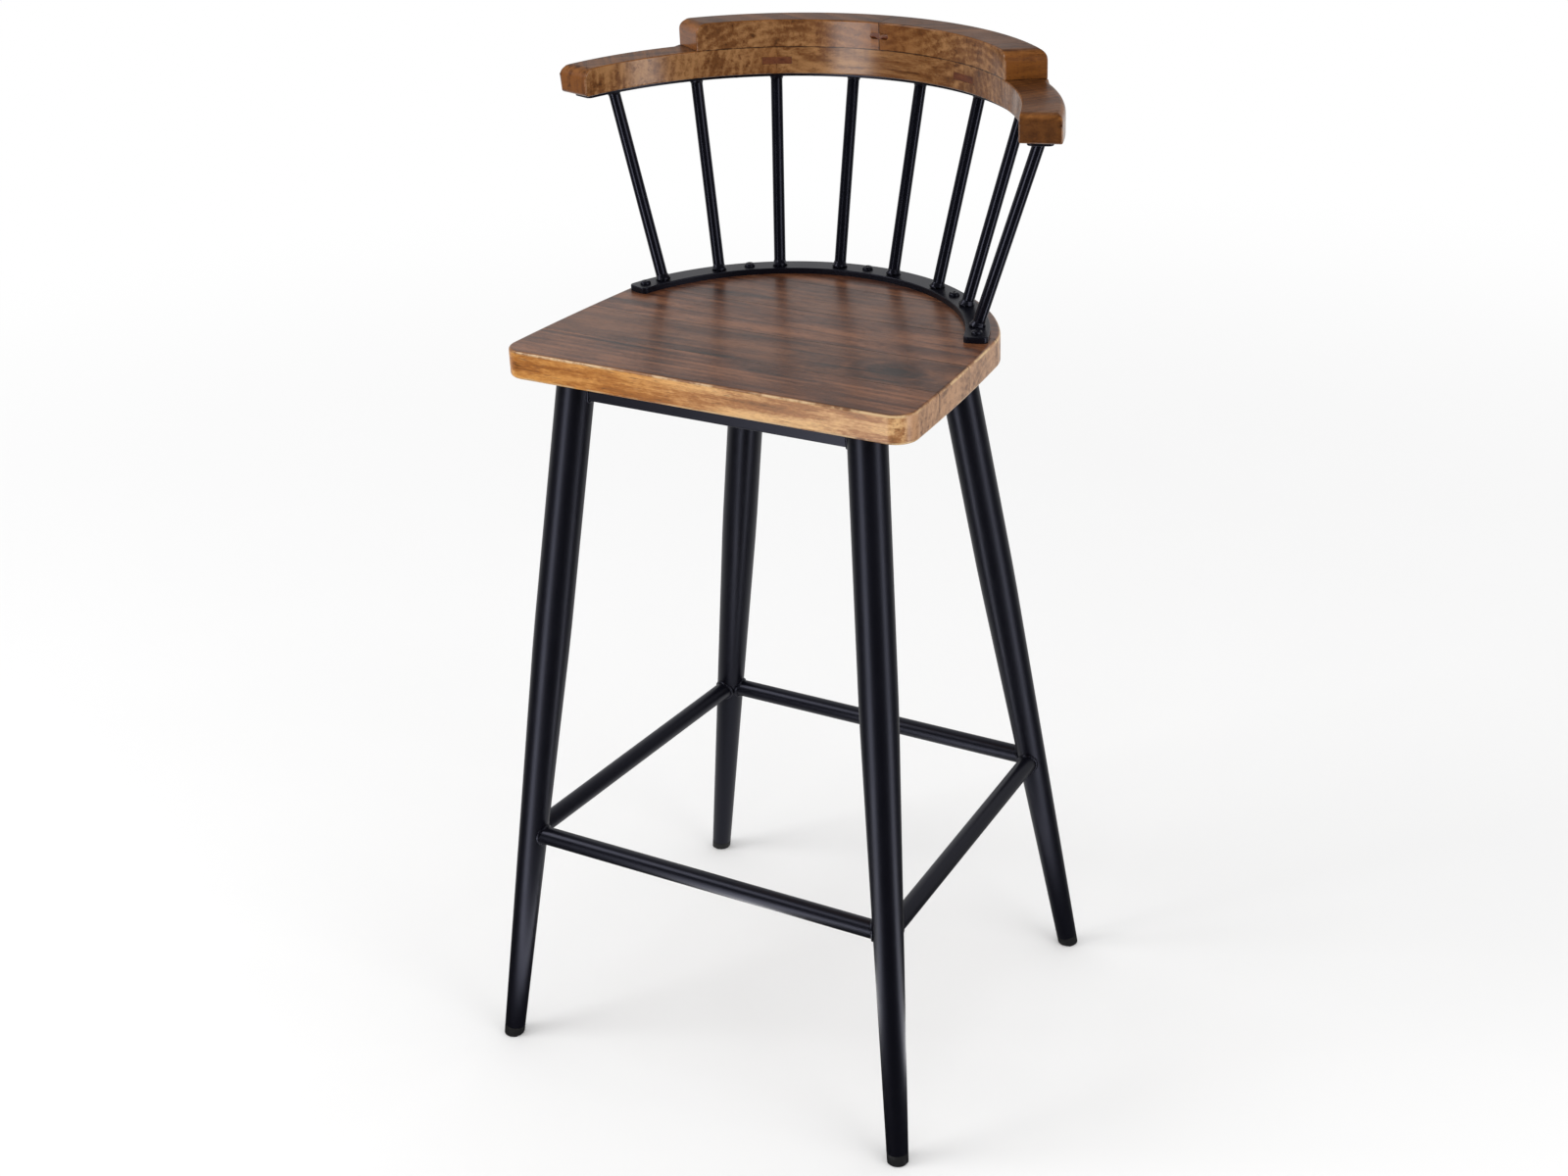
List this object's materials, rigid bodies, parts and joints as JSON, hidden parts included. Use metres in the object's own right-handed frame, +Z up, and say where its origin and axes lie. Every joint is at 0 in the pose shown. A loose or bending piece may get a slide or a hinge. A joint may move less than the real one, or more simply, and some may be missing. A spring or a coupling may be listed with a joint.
{
  "type": "bar stool",
  "caption": "Bar stool with tapered metal legs, a square footrest frame, a D-shaped wooden seat and a low curved wooden back rail on metal spindles.",
  "frame": {"origin": "on the floor under the middle of the stool's bounding box", "axes": "+Z up, +Y towards the back rail, +X to the right when looking from the front to the back"},
  "size_m": [0.549, 0.4986, 1.014],
  "materials": {
    "seat_wood": "satin lacquer over brown-stained hardwood boards",
    "rail_wood": "satin lacquer over golden-brown hardwood",
    "key_wood": "darker glued-in tenons, lacquered",
    "black_steel": "satin black powder coat",
    "screw_steel": "semi-gloss black",
    "glide_plastic": "moulded black plastic"
  },
  "bodies": {
    "root": {"seat_board_1": "seat_wood", "seat_board_2": "seat_wood", "seat_board_3": "seat_wood", "seat_board_4": "seat_wood", "seat_board_5": "seat_wood", "arm_left": "rail_wood", "rail_centre": "rail_wood", "arm_right": "rail_wood", "crest_left": "rail_wood", "crest_right": "rail_wood", "rail_keys": "key_wood", "leg_front_left": "black_steel", "leg_front_right": "black_steel", "leg_rear_left": "black_steel", "leg_rear_right": "black_steel", "glide_front_left": "glide_plastic", "glide_front_right": "glide_plastic", "glide_rear_left": "glide_plastic", "glide_rear_right": "glide_plastic", "footrest_front": "black_steel", "footrest_rear": "black_steel", "footrest_left": "black_steel", "footrest_right": "black_steel", "seat_rail_front": "black_steel", "seat_rail_rear": "black_steel", "seat_rail_left": "black_steel", "seat_rail_right": "black_steel", "mounting_tabs": "black_steel", "lower_band": "black_steel", "upper_band": "black_steel", "spindle_1": "black_steel", "spindle_2": "black_steel", "spindle_3": "black_steel", "spindle_4": "black_steel", "spindle_5": "black_steel", "spindle_6": "black_steel", "spindle_7": "black_steel", "spindle_8": "black_steel", "footrest_welds": "black_steel", "seat_rail_welds": "black_steel", "spindle_base_welds": "black_steel", "spindle_top_welds": "black_steel", "lower_band_screws": "screw_steel", "upper_band_screws": "screw_steel", "seat_screws": "screw_steel"}
  },
  "joints": []
}
